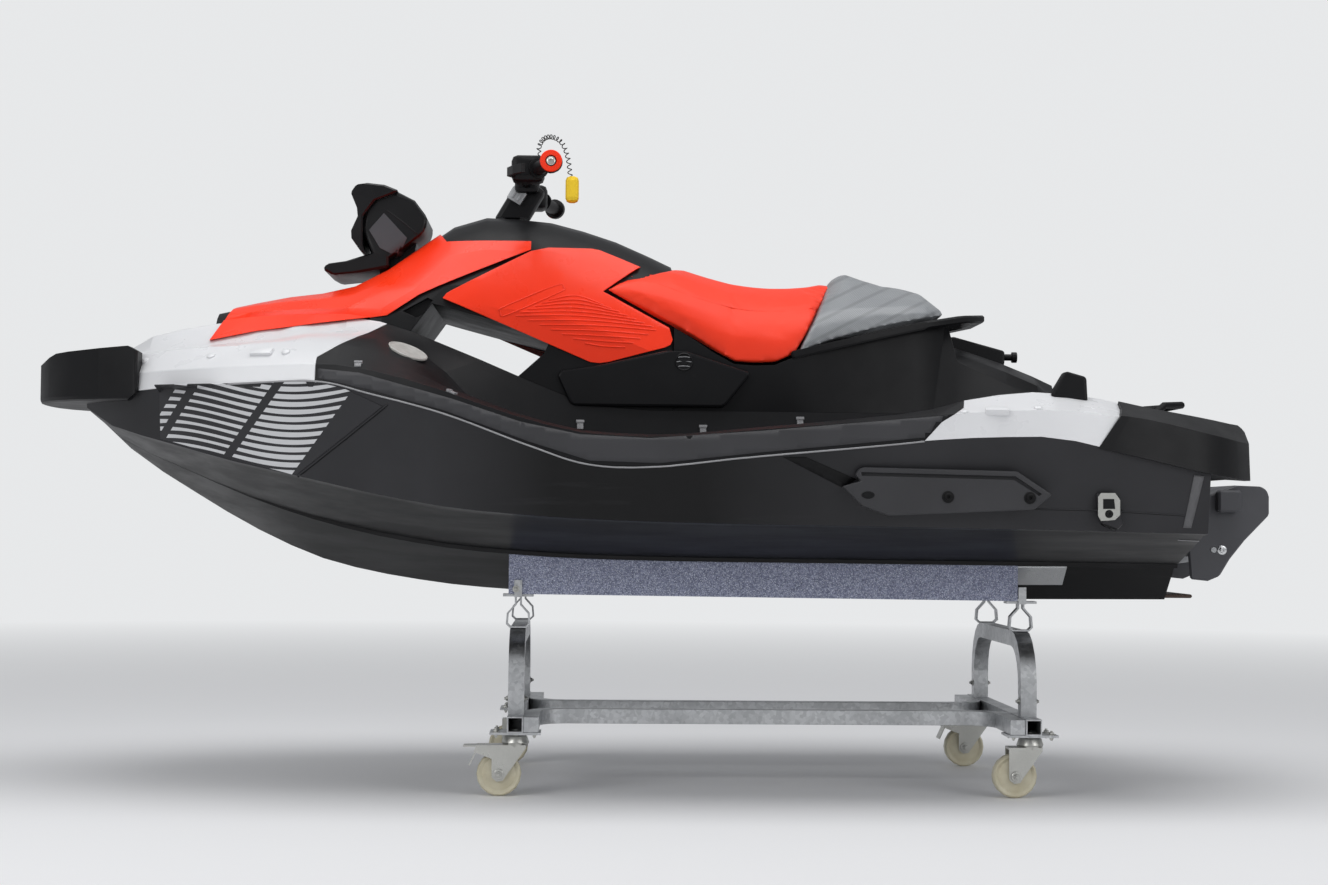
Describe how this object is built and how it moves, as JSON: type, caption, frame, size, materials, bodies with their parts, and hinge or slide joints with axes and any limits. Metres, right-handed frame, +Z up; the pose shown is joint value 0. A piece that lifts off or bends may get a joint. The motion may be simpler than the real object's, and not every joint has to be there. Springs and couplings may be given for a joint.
{
  "type": "personal watercraft on storage dolly",
  "caption": "Small sit-down jet personal watercraft with handlebar steering, jet pump and reverse bucket, resting on a caster dolly with carpeted bunks.",
  "frame": {"origin": "on the floor under the middle of the overall length and width", "axes": "-X towards the bow, +X towards the stern, +Y towards starboard, +Z up"},
  "size_m": [2.918, 1.18, 1.498],
  "materials": {
    "hull_black": "gloss",
    "deck_black": "satin",
    "deck_white": "gloss",
    "bumper": "satin",
    "console_black": "satin",
    "fairing_red": "gloss",
    "seat_red": "grained vinyl",
    "seat_silver": "woven-look vinyl",
    "bar": "satin",
    "grip": "matte",
    "cord": "satin",
    "float_yellow": "matte foam",
    "cast_metal": "cast",
    "impeller_steel": "satin",
    "galvanised": "galvanised",
    "carpet": "needle-felt carpet",
    "alloy": "mill",
    "zinc": "zinc plated",
    "nylon_cream": "satin"
  },
  "bodies": {
    "craft_and_dolly": {"hull": "hull_black", "deck": "deck_black", "bow_deck_panel": "deck_white", "rear_deck_panel_port": "deck_white", "rear_deck_panel_starboard": "deck_white", "rear_bumper_port": "bumper", "rear_bumper_starboard": "bumper", "bow_bumper": "bumper", "console": "console_black", "front_fairing_port": "fairing_red", "front_fairing_starboard": "fairing_red", "side_fairing_port": "fairing_red", "side_fairing_starboard": "fairing_red", "engine_cover_port": "console_black", "engine_cover_starboard": "console_black", "seat_base": "console_black", "seat_front": "seat_red", "seat_tail": "seat_silver", "gauge_pod": "console_black", "gunwale_wedge_port": "console_black", "gunwale_wedge_starboard": "console_black", "stern_loop": "console_black", "grab_handle": "console_black", "tow_eye": "console_black", "sponson_port": "bumper", "sponson_starboard": "bumper", "ride_plate": "cast_metal", "intake_grate": "cast_metal", "jet_pump": "cast_metal", "dolly_front_frame": "galvanised", "dolly_rear_frame": "galvanised", "dolly_rail_port": "galvanised", "dolly_rail_starboard": "galvanised", "bunk_port": "carpet", "bunk_starboard": "carpet", "bunk_strip_port": "alloy", "bunk_strip_starboard": "alloy"},
    "steering": {"steering_column": "console_black", "handlebar": "bar", "grip_port": "grip", "grip_starboard": "grip", "switch_pod_port": "console_black", "switch_pod_starboard": "console_black", "lanyard_cord": "cord", "lanyard_float": "float_yellow"},
    "nozzle": {"steering_nozzle": "cast_metal"},
    "bucket": {"reverse_bucket": "bumper"},
    "impeller": {"impeller": "impeller_steel"},
    "fork_front_port": {"caster_fork_front_port": "zinc"},
    "fork_front_starboard": {"caster_fork_front_starboard": "zinc"},
    "fork_rear_port": {"caster_fork_rear_port": "zinc"},
    "fork_rear_starboard": {"caster_fork_rear_starboard": "zinc"},
    "wheel_front_port": {"caster_wheel_front_port": "nylon_cream"},
    "wheel_front_starboard": {"caster_wheel_front_starboard": "nylon_cream"},
    "wheel_rear_port": {"caster_wheel_rear_port": "nylon_cream"},
    "wheel_rear_starboard": {"caster_wheel_rear_starboard": "nylon_cream"}
  },
  "joints": [
    {"name": "handlebar_steer", "type": "hinge", "parent": "craft_and_dolly", "child": "steering", "pos_m": [-0.352, 0, 1.345], "axis": [0.5062, 0, 0.8624], "range_deg": [-25, 25]},
    {"name": "nozzle_steer", "type": "hinge", "parent": "craft_and_dolly", "child": "nozzle", "pos_m": [1.24, 0, 0.585], "axis": [0, 0, 1], "range_deg": [-20, 20]},
    {"name": "bucket_swing", "type": "hinge", "parent": "craft_and_dolly", "child": "bucket", "pos_m": [1.325, 0, 0.562], "axis": [0, 1, 0], "range_deg": [0, 50]},
    {"name": "impeller_spin", "type": "hinge", "parent": "craft_and_dolly", "child": "impeller", "pos_m": [1.045, 0, 0.585], "axis": [1, 0, 0], "continuous": true},
    {"name": "swivel_front_port", "type": "hinge", "parent": "craft_and_dolly", "child": "fork_front_port", "pos_m": [-0.322, -0.342, 0.139], "axis": [0, 0, 1], "continuous": true},
    {"name": "swivel_front_starboard", "type": "hinge", "parent": "craft_and_dolly", "child": "fork_front_starboard", "pos_m": [-0.322, 0.342, 0.139], "axis": [0, 0, 1], "continuous": true},
    {"name": "swivel_rear_port", "type": "hinge", "parent": "craft_and_dolly", "child": "fork_rear_port", "pos_m": [0.842, -0.342, 0.139], "axis": [0, 0, 1], "continuous": true},
    {"name": "swivel_rear_starboard", "type": "hinge", "parent": "craft_and_dolly", "child": "fork_rear_starboard", "pos_m": [0.842, 0.342, 0.139], "axis": [0, 0, 1], "continuous": true},
    {"name": "roll_front_port", "type": "hinge", "parent": "fork_front_port", "child": "wheel_front_port", "pos_m": [-0.358, -0.342, 0.05], "axis": [0, 1, 0], "continuous": true},
    {"name": "roll_front_starboard", "type": "hinge", "parent": "fork_front_starboard", "child": "wheel_front_starboard", "pos_m": [-0.358, 0.342, 0.05], "axis": [0, 1, 0], "continuous": true},
    {"name": "roll_rear_port", "type": "hinge", "parent": "fork_rear_port", "child": "wheel_rear_port", "pos_m": [0.806, -0.342, 0.05], "axis": [0, 1, 0], "continuous": true},
    {"name": "roll_rear_starboard", "type": "hinge", "parent": "fork_rear_starboard", "child": "wheel_rear_starboard", "pos_m": [0.806, 0.342, 0.05], "axis": [0, 1, 0], "continuous": true}
  ],
  "couplings": [
    {"joint": "nozzle_steer", "follows": "handlebar_steer", "ratio": -0.8}
  ]
}
